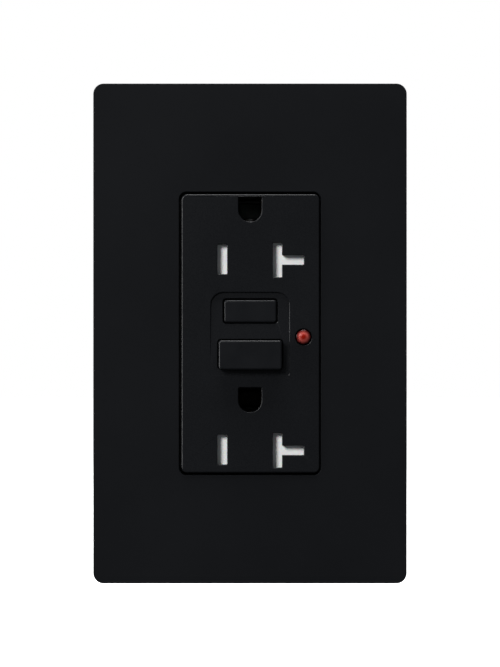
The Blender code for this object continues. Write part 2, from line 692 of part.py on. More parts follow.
def solenoid():
    """The trip solenoid: its plunger pushes the latch plate down and its spring lifts it again."""
    place = (0, SOLENOID_Y)
    flange = 4.3
    low, high = 8.2, 22.2
    bobbin = [(1.75, low), (flange, low), (flange, low + 0.9), (2.3, low + 0.9)]
    bobbin += [(2.3, high - 0.9), (flange, high - 0.9), (flange, high), (1.75, high)]
    finish(turned("z", place, bobbin, 20, ring=True), "solenoid_bobbin", "nylon_natural")
    winding = [(2.6, low + 1.2), (3.9, low + 1.2), (3.9, high - 1.2), (2.6, high - 1.2)]
    finish(turned("z", place, winding, 20, ring=True), "solenoid_winding", "copper_winding")
    plates = [box((-5.0, 6.2), (12.1, 19.5), z) for z in ((low - 1.5, low - GAP), (high + GAP, high + 1.5))]
    side = box((5.0, 6.2), (12.1, 19.5), (low - 1.5, high + 1.5))
    solid("solenoid_frame", "zinc_steel", plates + [side], [rod("z", place, 1.8, 0, 30, 16)])
    plunger = [(0, -0.1), (1.0, -0.1), (1.4, 0.5), (1.4, 27.2), (2.4, 27.2), (2.4, 28.0), (0, 28.0)]
    finish(turned("z", place, plunger, 16), "solenoid_plunger", "zinc_steel", (*place, 28.0))
    coil = helix("z", place, 1.98, high + 2.1, 26.7, 3)
    wire("plunger_spring", "spring_steel", coil, 0.2)


def circuit_board():
    board = (BOARD_FRONT, BOARD_FRONT + BOARD_THICK)
    tall = centred_box(14.4, board, (-31.8, 31.8))
    wide = centred_box(18.8, board, (-9.2, 9.2))
    solid("circuit_board", "board_green", [tall, wide])
    disc = [(0, 14.4), (4.2, 14.4), (4.6, 14.8), (4.6, 17.2), (4.2, 17.6), (0, 17.6)]
    varistor = turned("y", (9.6, 27.2), disc, 20)
    leads = [box((x, x + 0.6), (17.0, BOARD_FRONT - GAP), (26.9, 27.5)) for x in (7.5, 11.1)]
    solid("surge_varistor", "varistor_blue", [varistor] + leads)
    back = board[1] + GAP
    solid("controller_chip", "chip_black", [box((-3.0, 3.0), (back, back + 1.6), (8.0, 13.0))])


def terminals():
    half = POCKET_HALF_HEIGHT
    for row, end in ROWS.items():
        for pole, side in SIDES.items():
            z = end * POCKET_Z
            metal = "brass" if pole == "hot" else "nickel_screw"
            axis = (TERMINAL_SCREW_Y, z)
            plate = box(sorted(side * x for x in PLATE_X), (6.5, 18.1), (z - half + 0.6, z + half - 0.6))
            leg_z = sorted((z + end * 3.9, z + end * 5.9))
            leg = box(sorted((side * 11.0, side * 17.0)), (12.6, 13.4), leg_z)
            hole = rod("x", axis, 2.2, side * 17 - 2, side * 17 + 2, 16)
            solid(f"{row}_terminal_{pole}", metal, [plate, leg], [hole])
            clamp = box(sorted(side * x for x in CLAMP_X), (9.0, 18.1), (z - 5.3, z + 5.3))
            hole = rod("x", axis, 2.2, side * 18 - 2, side * 18 + 2, 16)
            pivot = (side * 18.2, *axis)
            solid(f"{row}_clamp_{pole}", "zinc_steel", [clamp], [hole], pivot)
            head = tuple(side * x for x in SCREW_HEAD_X)
            tip = side * SCREW_TIP_X
            slotted_screw(f"{row}_screw_{pole}", metal, "x", axis, head, tip, 4.1, THREAD_RADIUS, 1.1, pivot)


def rear_housing():
    front = SPLIT + GAP
    outer = slab(BODY_WIDTH, BODY_HEIGHT, BODY_CORNER, front, BACK)
    room = (BODY_WIDTH - 2 * BODY_WALL, BODY_HEIGHT - 2 * BODY_WALL)
    hollow = slab(*room, 1.0, front - PAST, BACK - BACK_WALL)
    adds = [solid("can", "housing_black", [outer], [hollow])]
    cuts = []
    inner_x = POCKET_FLOOR - POCKET_WALL
    wall_z = (POCKET_Z - POCKET_HALF_HEIGHT - POCKET_WALL, BODY_HEIGHT / 2 - 0.8)
    x, z = CORNER_SCREW
    for side in (-1, 1):
        for end in (-1, 1):
            block_x = sorted((side * inner_x, side * (BODY_WIDTH / 2 - 0.8)))
            block_z = sorted((end * wall_z[0], end * wall_z[1]))
            adds.append(box(block_x, (front, BACK - 0.8), block_z))
            mid = end * POCKET_Z
            pocket_z = (mid - POCKET_HALF_HEIGHT, mid + POCKET_HALF_HEIGHT)
            cuts.append(box(sorted((side * POCKET_FLOOR, side * 23)), POCKET_DEPTH, pocket_z))
            cuts.append(rod("x", (TERMINAL_SCREW_Y, mid), 2.3, side * 15.5 - 1.5, side * 15.5 + 1.5, 16))
            leg_z = sorted((end * (POCKET_Z + 3.5), end * (POCKET_Z + 6.3)))
            cuts.append(box(sorted((side * 14, side * 17)), (12.2, 13.8), leg_z))
            across, offset, radius = WIRE_HOLE
            for hole_z in (mid - offset, mid + offset):
                cuts.append(rod("y", (side * across, hole_z), radius, 17, 30, 16))
            corner = (side * x, end * z)
            cuts.append(rod("y", corner, 1.5, 0, 30, 16))
            cuts.append(rod("y", corner, HEAD_BORE, BACK - HEAD_BORE_DEPTH, 30, 20))
    for end in (-1, 1):
        notch_z = sorted((end * 31, end * 36))
        cuts.append(centred_box(NECK_HALF_WIDTH + 0.4, (0, STRAP_INSET + STRAP_THICK + GAP), notch_z))
    solid("rear_housing", "housing_black", adds, cuts)


def assembly_screws():
    x, z = CORNER_SCREW
    for row, end in (("upper", 1), ("lower", -1)):
        for hand, side in (("left", -1), ("right", 1)):
            name = f"assembly_screw_{row}_{hand}"
            head = (BACK - 0.3, BACK - 1.9)
            tip = -0.6
            slotted_screw(name, "zinc_steel", "y", (side * x, end * z), head, tip, 2.5, 1.2, 0.7)


def main():
    clear_scene()
    make_materials()
    root = bpy.data.objects.new("gfci_outlet", None)
    bpy.context.scene.collection.objects.link(root)
    wall_plate()
    plate_adapter()
    mounting_screws()
    yoke_strap()
    ground_screw()
    front_cover()
    buttons()
    reset_mechanism()
    shutters()
    contact_strips()
    ground_contacts()
    separator()
    switching_parts()
    indicator()
    coils()
    solenoid()
    circuit_board()
    terminals()
    rear_housing()
    assembly_screws()


main()
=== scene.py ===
"""The looks of the outlet: its finishes, its fine shapes, and a plain studio round it.

Sizes in this file are millimetres unless a name ends in _m. Where a piece stands comes from the frame.
"""

import json
import math

import bmesh
import bpy
from mathutils import Matrix, Vector


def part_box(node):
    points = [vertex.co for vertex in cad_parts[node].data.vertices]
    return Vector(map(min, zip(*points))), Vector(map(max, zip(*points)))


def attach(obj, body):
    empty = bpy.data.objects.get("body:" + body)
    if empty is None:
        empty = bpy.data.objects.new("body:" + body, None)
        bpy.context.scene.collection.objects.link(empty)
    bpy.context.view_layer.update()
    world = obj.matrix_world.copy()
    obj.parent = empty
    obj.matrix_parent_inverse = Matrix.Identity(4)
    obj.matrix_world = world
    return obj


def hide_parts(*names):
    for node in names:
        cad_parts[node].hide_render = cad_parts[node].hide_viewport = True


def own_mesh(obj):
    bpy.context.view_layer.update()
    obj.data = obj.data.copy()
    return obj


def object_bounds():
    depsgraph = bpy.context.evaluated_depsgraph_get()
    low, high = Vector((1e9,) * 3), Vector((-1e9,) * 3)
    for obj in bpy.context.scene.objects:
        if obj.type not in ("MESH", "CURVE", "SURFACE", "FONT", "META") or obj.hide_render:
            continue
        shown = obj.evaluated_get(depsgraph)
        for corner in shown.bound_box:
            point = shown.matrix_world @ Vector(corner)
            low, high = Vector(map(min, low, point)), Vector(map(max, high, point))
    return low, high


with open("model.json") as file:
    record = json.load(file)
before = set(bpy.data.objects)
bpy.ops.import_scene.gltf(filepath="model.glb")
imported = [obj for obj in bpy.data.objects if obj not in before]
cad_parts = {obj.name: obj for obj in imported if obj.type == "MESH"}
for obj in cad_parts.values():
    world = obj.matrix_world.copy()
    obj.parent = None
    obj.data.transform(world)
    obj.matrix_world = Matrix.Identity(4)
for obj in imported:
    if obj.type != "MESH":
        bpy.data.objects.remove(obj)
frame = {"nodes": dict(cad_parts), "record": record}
cad_low, cad_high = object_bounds()

MM = 0.001
ROUND_STEPS = 5  # facets across a rounded edge
CORNER_STEPS = 10  # facets round a moulded corner
BODY_OF = {node: body for body, nodes in frame["record"]["behaviour"]["bodies"].items() for node in nodes}
SLOT_OF = {part["node"]: part["material_slot"] for part in frame["record"]["subparts"]}
WELD = 0.0005  # points nearer than this become one
CAD_WELD = 0.002
CAD_FLAT = 1  # degrees between CAD facets that still count as one flat face


# ---------------------------------------------------------------- finishes


def linear(code):
    """An sRGB hex colour as the linear RGBA that Blender's sockets take."""
    channels = [int(code[i : i + 2], 16) / 255 for i in (1, 3, 5)]
    return (*[c / 12.92 if c <= 0.04045 else ((c + 0.055) / 1.055) ** 2.4 for c in channels], 1.0)


def add(tree, kind, settings, inputs):
    """Adds a node. settings are its own properties, and inputs are values or sockets to link from."""
    node = tree.nodes.new("ShaderNode" + kind)
    for name, value in settings.items():
        setattr(node, name, value)
    for name, value in inputs.items():
        if isinstance(value, bpy.types.NodeSocket):
            tree.links.new(value, node.inputs[name])
        else:
            node.inputs[name].default_value = value
    return node


def start(name, metallic=0.0, ior=None, specular=None):
    """A material with its one shader, whose even values go straight on the shader's sockets."""
    material = bpy.data.materials.new(name)
    material.use_nodes = True
    tree = material.node_tree
    shader = tree.nodes["Principled BSDF"]
    shader.inputs["Metallic"].default_value = metallic
    if ior:
        shader.inputs["IOR"].default_value = ior
    if specular is not None:
        shader.inputs["Specular IOR Level"].default_value = specular
    place = add(tree, "TexCoord", {}, {}).outputs["Object"]
    return material, tree, shader, place


def per_metre(size):
    """The texture scale at which a pattern's features are about size millimetres."""
    return 1 / (size * MM)


def noise(tree, place, size, detail=2.0, stretch=(1, 1, 1)):
    """Noise with features of about size millimetres, drawn out where stretch is under 1."""
    spread = add(tree, "Mapping", {}, {"Vector": place, "Scale": stretch}).outputs["Vector"]
    settings = {"Vector": spread, "Scale": per_metre(size), "Detail": detail, "Roughness": 0.55}
    return add(tree, "TexNoise", {}, settings).outputs["Fac"]


def tint(tree, shader, pattern, dark, light, low=0.35, high=0.65, rim=None):
    """Colour that wanders between two hex values with the pattern, and on to a rim colour where it is 1."""
    ramp = add(tree, "ValToRGB", {}, {"Fac": pattern})
    for stop, place, code in zip(ramp.color_ramp.elements, (low, high), (dark, light)):
        stop.position = place
        stop.color = linear(code)
    if rim:
        ramp.color_ramp.elements.new(1.0).color = linear(rim)
    tree.links.new(ramp.outputs["Color"], shader.inputs["Base Color"])


def gloss(tree, shader, pattern, low, high):
    """Roughness that wanders from low to high with the pattern."""
    span = {"Value": pattern, "From Min": 0.3, "From Max": 0.7, "To Min": low, "To Max": high}
    tree.links.new(add(tree, "MapRange", {}, span).outputs["Result"], shader.inputs["Roughness"])


def relief(tree, shader, pattern, height, strength=1.0, under=None):
    """Surface relief of height millimetres, on top of any relief that is under it."""
    inputs = {"Height": pattern, "Distance": height * MM, "Strength": strength}
    if under:
        inputs["Normal"] = under
    normal = add(tree, "Bump", {}, inputs).outputs["Normal"]
    tree.links.new(normal, shader.inputs["Normal"])
    return normal


def moulded_abs_plate():
    """ABS wall plate from a spark-eroded mould: an even matte black that spreads any highlight wide."""
    material, tree, shader, place = start("moulded_abs_matte_black", ior=1.5, specular=0.04)
    flow = noise(tree, place, 30, 3)
    # The real grain is near 0.06 mm, too fine to show, so it is drawn at 0.3 mm.
    grain = noise(tree, place, 0.3, 2)
    tint(tree, shader, flow, "#0C0D0F", "#0E0F11")
    gloss(tree, shader, grain, 0.44, 0.54)
    relief(tree, shader, grain, 0.005)
    return material


def moulded_polycarbonate_face():
    """Polycarbonate face from a finely stoned mould: satin black, so its rounded edges catch a thin line."""
    material, tree, shader, place = start("moulded_polycarbonate_satin_black", ior=1.58, specular=0.1)
    flow = noise(tree, place, 18, 3)
    # Stoning marks are near 0.04 mm, too fine to show, so they are drawn at 0.25 mm.
    grain = noise(tree, place, 0.25, 2)
    tint(tree, shader, flow, "#0C0D0F", "#0E0F11")
    gloss(tree, shader, grain, 0.24, 0.31)
    relief(tree, shader, grain, 0.003)
    return material


def moulded_button_polycarbonate():
    """The buttons' own moulding: a little smoother than the face from use of a polished mould."""
    material, tree, shader, place = start("moulded_polycarbonate_button_black", ior=1.58, specular=0.07)
    rub = noise(tree, place, 6, 3)
    grain = noise(tree, place, 0.25, 2)
    tint(tree, shader, rub, "#0E0F11", "#101113")
    gloss(tree, shader, rub, 0.27, 0.32)
    relief(tree, shader, grain, 0.002)
    return material


def moulded_adapter_nylon():
    """Hidden nylon mouldings: dull black with faint flow lines away from the gate."""
    material, tree, shader, place = start("moulded_nylon_dull_black", ior=1.53)
    flow = noise(tree, place, 9, 4, (1, 1, 0.25))
    grain = noise(tree, place, 0.4, 2)
    tint(tree, shader, flow, "#191A1C", "#222326")
    gloss(tree, shader, grain, 0.5, 0.66)
    relief(tree, shader, grain, 0.008)
    return material


def moulded_housing_pbt():
    """Glass-filled PBT: dull black whose short fibres show as a faint grey fleck."""
    material, tree, shader, place = start("moulded_glass_filled_pbt_black", ior=1.55)
    # Fibres are 0.01 mm thick and under 1 mm long, so the fleck is drawn 0.35 mm thick.
    fleck = noise(tree, place, 0.35, 3, (1, 1, 0.3))
    flow = noise(tree, place, 14, 3)
    tint(tree, shader, fleck, "#17181A", "#26272A", 0.45, 0.8)
    gloss(tree, shader, flow, 0.5, 0.68)
    relief(tree, shader, fleck, 0.01)
    return material


def moulded_acetal_white():
    """Acetal shutters: a slightly warm white with a soft, waxy depth."""
    material, tree, shader, place = start("moulded_acetal_white", ior=1.48)
    flow = noise(tree, place, 4, 2)
    tint(tree, shader, flow, "#E8E8E8", "#EEEEED")
    gloss(tree, shader, flow, 0.32, 0.42)
    relief(tree, shader, noise(tree, place, 0.3), 0.003)
    shader.inputs["Subsurface Weight"].default_value = 0.12
    shader.inputs["Subsurface Scale"].default_value = 0.4 * MM
    return material


def moulded_nylon_natural():
    """Unpigmented nylon: milky cream, darker where it is thick."""
    material, tree, shader, place = start("moulded_nylon_natural", ior=1.53)
    flow = noise(tree, place, 5, 3)
    tint(tree, shader, flow, "#CFC6AC", "#DDD5BD")
    gloss(tree, shader, flow, 0.4, 0.55)
    relief(tree, shader, noise(tree, place, 0.35), 0.005)
    shader.inputs["Subsurface Weight"].default_value = 0.15
    shader.inputs["Subsurface Scale"].default_value = 0.8 * MM
    return material


def moulded_acrylic_red():
    """Tinted acrylic light pipe with a polished dome. Its colour carries painted shade and light: deepest
    red in the middle as painted shade where one sees down it, a lighter ring of painted light round that,
    and a dark painted shade at the rim.
    """
    material, tree, shader, place = start("moulded_acrylic_red", ior=1.49, specular=0.08)
    low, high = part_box("indicator_lens")
    painted_shade_rim_at = 0.46 * (high.x - low.x)
    unevenness = 0.2
    axis = ((low.x + high.x) / 2, 0, (low.z + high.z) / 2)
    flat = add(tree, "VectorMath", {"operation": "MULTIPLY"}, {0: place, 1: (1, 0, 1)}).outputs["Vector"]
    out = add(tree, "VectorMath", {"operation": "DISTANCE"}, {0: flat, 1: axis}).outputs["Value"]
    share = add(tree, "MapRange", {}, {"Value": out, "From Max": painted_shade_rim_at}).outputs["Result"]
    cloud = noise(tree, place, 0.7, 2)
    mixed = {0: cloud, 1: unevenness, 2: share}
    uneven = add(tree, "Math", {"operation": "MULTIPLY_ADD"}, mixed).outputs["Value"]
    level = add(tree, "Math", {"operation": "SUBTRACT"}, {0: uneven, 1: unevenness / 2}).outputs["Value"]
    # Painted shade and light by distance from the light's axis: dark red at the middle, a lighter painted
    # ring, then dark painted shade at the rim; the cloud only makes it uneven.
    tint(tree, shader, level, "#6A0E04", "#8A3A34", 0.22, 0.58, rim="#260303")
    gloss(tree, shader, cloud, 0.14, 0.24)
    return material


def stamped_zinc_steel():
    """Stamped strip, zinc plated: a cool grey with rolling lines along it and a faint bloom."""
    material, tree, shader, place = start("stamped_steel_zinc_plated", metallic=1.0)
    # Rolling lines are finer than 0.05 mm, so they are drawn 0.3 mm apart.
    lines = noise(tree, place, 0.3, 3, (1, 1, 0.03))
    bloom = noise(tree, place, 7, 4)
    tint(tree, shader, bloom, "#A3A8AD", "#C3C7CA")
    gloss(tree, shader, lines, 0.28, 0.42)
    relief(tree, shader, lines, 0.004)
    return material


def rolled_zinc_screw():
    """Rolled screws, zinc plated and clear passivated: bright with a faint blue and straw cast."""
    material, tree, shader, place = start("rolled_steel_screw_zinc_plated", metallic=1.0)
    cast = noise(tree, place, 2.5, 3)
    tint(tree, shader, cast, "#AEB4BE", "#CFCBBE")
    gloss(tree, shader, cast, 0.2, 0.34)
    relief(tree, shader, noise(tree, place, 0.25, 3), 0.005)
    return material


def nickel_plated_brass():
    """Nickel plate on turned brass: a warm bright grey that marks the neutral side."""
    material, tree, shader, place = start("turned_brass_nickel_plated", metallic=1.0)
    haze = noise(tree, place, 3, 3)
    tint(tree, shader, haze, "#BDB9B0", "#D2CFC7")
    gloss(tree, shader, haze, 0.18, 0.32)
    relief(tree, shader, noise(tree, place, 0.3, 3), 0.004)
    return material


def stamped_brass():
    """Cartridge brass, stamped and left bare: yellow with browner patches where it has begun to dull."""
    material, tree, shader, place = start("stamped_cartridge_brass", metallic=1.0)
    dulling = noise(tree, place, 5, 4)
    lines = noise(tree, place, 0.3, 3, (1, 1, 0.04))
    tint(tree, shader, dulling, "#B5893E", "#D9B566")
    gloss(tree, shader, lines, 0.2, 0.36)
    relief(tree, shader, lines, 0.004)
    return material


def green_passivated_steel():
    """Zinc-plated steel dyed green: a metallic leaf green that marks the ground screw."""
    material, tree, shader, place = start("zinc_plated_steel_dyed_green", metallic=0.85)
    dye = noise(tree, place, 2, 3)
    tint(tree, shader, dye, "#2A7A3E", "#479A55")
    gloss(tree, shader, dye, 0.25, 0.4)
    relief(tree, shader, noise(tree, place, 0.3, 3), 0.005)
    return material


def drawn_spring_wire():
    """Hard-drawn spring wire: grey steel with draw marks along it."""
    material, tree, shader, place = start("drawn_spring_steel_wire", metallic=1.0)
    marks = noise(tree, place, 0.5, 3)
    tint(tree, shader, marks, "#8C8E91", "#AFB1B3")
    gloss(tree, shader, marks, 0.22, 0.38)
    relief(tree, shader, marks, 0.003)
    return material


def enamelled_copper_wire():
    """Wound copper wire under clear enamel: orange brown, shiny along every turn."""
    material, tree, shader, place = start("wound_enamelled_copper_wire", metallic=0.9)
    turns = noise(tree, place, 0.8, 2)
    tint(tree, shader, turns, "#8E4320", "#BE6A38")
    gloss(tree, shader, turns, 0.2, 0.35)
    shader.inputs["Coat Weight"].default_value = 0.5
    shader.inputs["Coat Roughness"].default_value = 0.12
    return material


def laminate_board_green():
    """Glass-fibre board under green mask: the weave of the glass shows faintly through it."""
    material, tree, shader, place = start("fibreglass_board_green_mask", ior=1.55)
    # Glass cloth has a thread about every 0.5 mm.
    threads = {"Vector": place, "Scale": per_metre(0.5) / 20}
    warp = add(tree, "TexWave", {"bands_direction": "X"}, threads).outputs["Fac"]
    weft = add(tree, "TexWave", {"bands_direction": "Z"}, threads).outputs["Fac"]
    weave = add(tree, "Math", {"operation": "MULTIPLY"}, {0: warp, 1: weft}).outputs["Value"]
    tint(tree, shader, weave, "#0F4A2A", "#1B6138", 0.2, 0.9)
    gloss(tree, shader, noise(tree, place, 3), 0.25, 0.4)
    relief(tree, shader, weave, 0.01)
    return material


def vulcanised_fibre_red():
    """Pressed vulcanised fibre: dull brick red with a felted fleck."""
    material, tree, shader, place = start("pressed_vulcanised_fibre_red", ior=1.5)
    felt = noise(tree, place, 0.5, 4)
    tint(tree, shader, felt, "#70281F", "#9A4233")
    gloss(tree, shader, felt, 0.7, 0.85)
    relief(tree, shader, felt, 0.03)
    return material


def dipped_epoxy_blue():
    """Dipped epoxy on the varistor: thick, blue and softly uneven."""
    material, tree, shader, place = start("dipped_epoxy_blue", ior=1.55)
    sag = noise(tree, place, 2, 2)
    tint(tree, shader, sag, "#1F4A8C", "#2B5CA3")
    gloss(tree, shader, sag, 0.3, 0.45)
    relief(tree, shader, sag, 0.06)
    return material


def moulded_epoxy_chip():
    """Filled epoxy chip body: charcoal with a dry, sandy surface."""
    material, tree, shader, place = start("moulded_epoxy_chip_black", ior=1.55)
    sand = noise(tree, place, 0.3, 3)
    tint(tree, shader, sand, "#1E1E20", "#2C2C2E")
    gloss(tree, shader, sand, 0.6, 0.75)
    relief(tree, shader, sand, 0.015)
    return material


def painted_studio_board():
    """Matt painted board under the object: near white, with the roller's faint stipple."""
    material, tree, shader, place = start("rolled_paint_studio_white", ior=1.45)
    stipple = noise(tree, place, 3, 2)
    tint(tree, shader, stipple, "#ECECEC", "#F0F0F0")
    gloss(tree, shader, stipple, 0.75, 0.85)
    relief(tree, shader, stipple, 0.02)
    return material


FINISHES = {
    "plate_black": moulded_abs_plate(),
    "adapter_black": moulded_adapter_nylon(),
    "device_black": moulded_polycarbonate_face(),
    "button_black": moulded_button_polycarbonate(),
    "housing_black": moulded_housing_pbt(),
    "shutter_white": moulded_acetal_white(),
    "nylon_natural": moulded_nylon_natural(),
    "lens_red": moulded_acrylic_red(),
    "zinc_steel": stamped_zinc_steel(),
    "nickel_steel": nickel_plated_brass(),
    "spring_steel": drawn_spring_wire(),
    "green_screw": green_passivated_steel(),
    "brass": stamped_brass(),
    "copper_winding": enamelled_copper_wire(),
    "board_green": laminate_board_green(),
    "fibre_red": vulcanised_fibre_red(),
    "varistor_blue": dipped_epoxy_blue(),
    "chip_black": moulded_epoxy_chip(),
}
SCREW_STEEL = rolled_zinc_screw()


# ---------------------------------------------------------------- making meshes


def box_mm(node):
    """The lowest and highest corners of a CAD node, in millimetres."""
    low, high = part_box(node)
    return low / MM, high / MM


def mesh_of(work, name="mesh"):
    """A mesh in metres from a bmesh drawn in millimetres, welded and with its faces turned outwards."""
    bmesh.ops.remove_doubles(work, verts=work.verts, dist=WELD)
    bmesh.ops.recalc_face_normals(work, faces=work.faces)
    bmesh.ops.scale(work, vec=(MM, MM, MM), verts=work.verts)
    mesh = bpy.data.meshes.new(name)
    work.to_mesh(mesh)
    work.free()
    return mesh


def joined(*meshes):
    """Several closed shells as one mesh."""
    work = bmesh.new()
    for mesh in meshes:
        work.from_mesh(mesh)
    bmesh.ops.scale(work, vec=(1 / MM, 1 / MM, 1 / MM), verts=work.verts)
    return mesh_of(work)


def holder(data):
    """A passing object that holds a mesh or curve while Blender works on it."""
    obj = bpy.data.objects.new("holder", data)
    bpy.context.scene.collection.objects.link(obj)
    return obj


def evaluated(obj, *others):
    """The mesh that an object's modifiers make. The object, and others that it used, are removed."""
    bpy.context.view_layer.update()
    graph = bpy.context.evaluated_depsgraph_get()
    mesh = bpy.data.meshes.new_from_object(obj.evaluated_get(graph))
    for done in (obj, *others):
        bpy.data.objects.remove(done)
    return mesh


def without(mesh, cutter):
    """The mesh less the cutter."""
    obj, tool = holder(mesh), holder(cutter)
    modifier = obj.modifiers.new("cut", "BOOLEAN")
    modifier.operation = "DIFFERENCE"
    modifier.solver = "EXACT"
    modifier.object = tool
    return evaluated(obj, tool)


def block(x, y, z):
    """A plain cutter between two places on each axis."""
    work = bmesh.new()
    middle = [(low + high) / 2 for low, high in (x, y, z)]
    size = [high - low for low, high in (x, y, z)]
    bmesh.ops.create_cube(work, size=1, matrix=Matrix.Translation(middle) @ Matrix.Diagonal((*size, 1)))
    return mesh_of(work)


def arc(centre, radius, start, stop, steps):
    """Points on a circle from one angle to another, in degrees."""
    turns = [math.radians(start + (stop - start) * step / steps) for step in range(steps + 1)]
    return [(centre[0] + radius * math.cos(a), centre[1] + radius * math.sin(a)) for a in turns]


def rectangle(width, height, radius, centre=(0, 0), steps=CORNER_STEPS):
    """The outline of a rectangle with round corners."""
    outline = []
    for turn, (side, end) in enumerate(((1, 1), (-1, 1), (-1, -1), (1, -1))):
        middle = (centre[0] + side * (width / 2 - radius), centre[1] + end * (height / 2 - radius))
        outline += arc(middle, radius, 90 * turn, 90 * turn + 90, steps)
    return outline


def softened(outline, radius, steps=4):
    """The outline with each of its sharp corners rounded."""
    rounded = []
    count = len(outline)
    for index, corner in enumerate(outline):
        here = Vector(corner)
        back = (Vector(outline[index - 1]) - here).normalized()
        ahead = (Vector(outline[(index + 1) % count]) - here).normalized()
        half = back.angle(ahead) / 2
        reach = radius / math.tan(half)
        first, last = here + back * reach, here + ahead * reach
        for step in range(steps + 1):
            t = step / steps
            point = first * (1 - t) ** 2 + here * 2 * t * (1 - t) + last * t**2
            rounded.append(tuple(point))
    return rounded


def moulding(outlines, front, back, edge, steps=ROUND_STEPS):
    """A plate cut to outlines in X and Z, holes included, with every edge rounded."""
    curve = bpy.data.curves.new("outline", "CURVE")
    curve.dimensions = "2D"
    curve.fill_mode = "BOTH"
    curve.extrude = ((back - front) / 2 - edge) * MM
    curve.bevel_depth = edge * MM
    curve.bevel_resolution = steps - 2
    curve.offset = -edge * MM
    for outline in outlines:
        spline = curve.splines.new("POLY")
        spline.points.add(len(outline) - 1)
        for point, (x, z) in zip(spline.points, outline):
            point.co = (x * MM, z * MM, 0, 1)
        spline.use_cyclic_u = True
    mesh = evaluated(holder(curve))
    middle = Matrix.Translation((0, (front + back) / 2 * MM, 0))
    mesh.transform(middle @ Matrix.Rotation(math.radians(90), 4, "X"))
    return joined(mesh)


def skin(loops, closed):
    """Quads between loops of points that have the same count. closed joins the last loop to the first."""
    work = bmesh.new()
    rows = [[work.verts.new(point) for point in loop] for loop in loops]
    pairs = list(zip(rows, rows[1:]))
    if closed:
        pairs.append((rows[-1], rows[0]))
    for lower, upper in pairs:
        for side in range(len(lower)):
            after = (side + 1) % len(lower)
            work.faces.new([lower[side], lower[after], upper[after], upper[side]])
    if not closed:
        work.faces.new(rows[0])
        work.faces.new(rows[-1])
    return mesh_of(work)


def swept(rings):
    """One closed skin through rounded rectangles, each (width, height, corner radius, depth)."""
    return skin([[(x, y, z) for x, z in rectangle(w, h, r)] for w, h, r, y in rings], closed=True)


def rolled_edge(width, height, radius, depth, edge, hole=False):
    """Rings that turn a rectangle's side over to its front, or its front into a hole."""
    rings = []
    for step in range(ROUND_STEPS + 1):
        turn = math.radians(90 * step / ROUND_STEPS)
        inset = edge * (1 - math.cos(turn)) * (-1 if hole else 1)
        sunk = edge * (1 - math.sin(turn))
        rings.append((width - 2 * inset, height - 2 * inset, radius - inset, depth + sunk))
    return rings[::-1] if hole else rings


def across(axis, centre, radius, angle, along):
    """A point at an angle round an axis, in X, Y, Z order."""
    u, v = centre[0] + radius * math.cos(angle), centre[1] + radius * math.sin(angle)
    return {"x": (along, u, v), "y": (u, along, v), "z": (u, v, along)}[axis]


def turned(axis, centre, profile, sides=48, closed=False):
    """A profile of (radius, along) turned about an axis."""
    turns = [2 * math.pi * side / sides for side in range(sides)]
    thin = 0.001
    loops = [[across(axis, centre, max(radius, thin), a, along) for a in turns] for radius, along in profile]
    return skin(loops, closed)


def wire(points, radius, sides=8, closed=False):
    """A round wire through points in millimetres."""
    curve = bpy.data.curves.new("wire", "CURVE")
    curve.dimensions = "3D"
    curve.bevel_depth = radius * MM
    curve.bevel_resolution = sides // 2 - 2
    curve.use_fill_caps = True
    spline = curve.splines.new("POLY")
    spline.points.add(len(points) - 1)
    for place, where in zip(spline.points, points):
        place.co = (*(Vector(where) * MM), 1)
    spline.use_cyclic_u = closed
    return joined(evaluated(holder(curve)))


def helix(axis, centre, radius, low, high, turns, per_turn=24):
    """Points along a coil spring whose end turns lie almost flat."""
    end_turns, end_rise = 0.8, 0.06
    count = round(turns * per_turn)
    points = []
    for step in range(count + 1):
        share = step / count
        climbed = min(max((share * turns - end_turns) / (turns - 2 * end_turns), 0), 1)
        along = low + (high - low) * (end_rise * share + (1 - end_rise) * climbed)
        points.append(across(axis, centre, radius, 2 * math.pi * turns * share, along))
    return points


def show(name, mesh, nodes, finish=None, sharp=50):
    """Shows a mesh as a piece that stands for CAD nodes, rides on their body and has their finish."""
    first = nodes[0]
    obj = bpy.data.objects.new(name, mesh)
    bpy.context.scene.collection.objects.link(obj)
    mesh.name = name
    mesh.materials.clear()
    mesh.materials.append(finish or FINISHES[SLOT_OF[first]])
    mesh.shade_smooth()
    mesh.set_sharp_from_angle(angle=math.radians(sharp))
    normals = obj.modifiers.new("flat faces stay flat", "WEIGHTED_NORMAL")
    normals.keep_sharp = True
    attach(obj, BODY_OF[first])
    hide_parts(*nodes)
    return obj


def welded(node):
    """A copy of a CAD node's mesh with its facets merged into whole faces, in metres."""
    work = bmesh.new()
    work.from_mesh(frame["nodes"][node].data)
    bmesh.ops.scale(work, vec=(1 / MM, 1 / MM, 1 / MM), verts=work.verts)
    bmesh.ops.remove_doubles(work, verts=work.verts, dist=CAD_WELD)
    bmesh.ops.dissolve_limit(work, angle_limit=math.radians(CAD_FLAT), verts=work.verts, edges=work.edges)
    return mesh_of(work)


def eased(mesh, edge, over=38):
    """The mesh with its edges rounded, as tumbling or a mould's own radius leaves them."""
    obj = holder(mesh)
    bevel = obj.modifiers.new("bevel", "BEVEL")
    bevel.width = edge * MM
    bevel.segments = 3
    bevel.limit_method = "ANGLE"
    bevel.angle_limit = math.radians(over)
    bevel.use_clamp_overlap = False
    bevel.miter_outer = "MITER_ARC"
    return evaluated(obj)


def finer(node, edge, finish=None):
    """The CAD shape with its edges eased."""
    return show(f"{node}_finished", eased(welded(node), edge), [node], finish)


# ---------------------------------------------------------------- wall plate and face


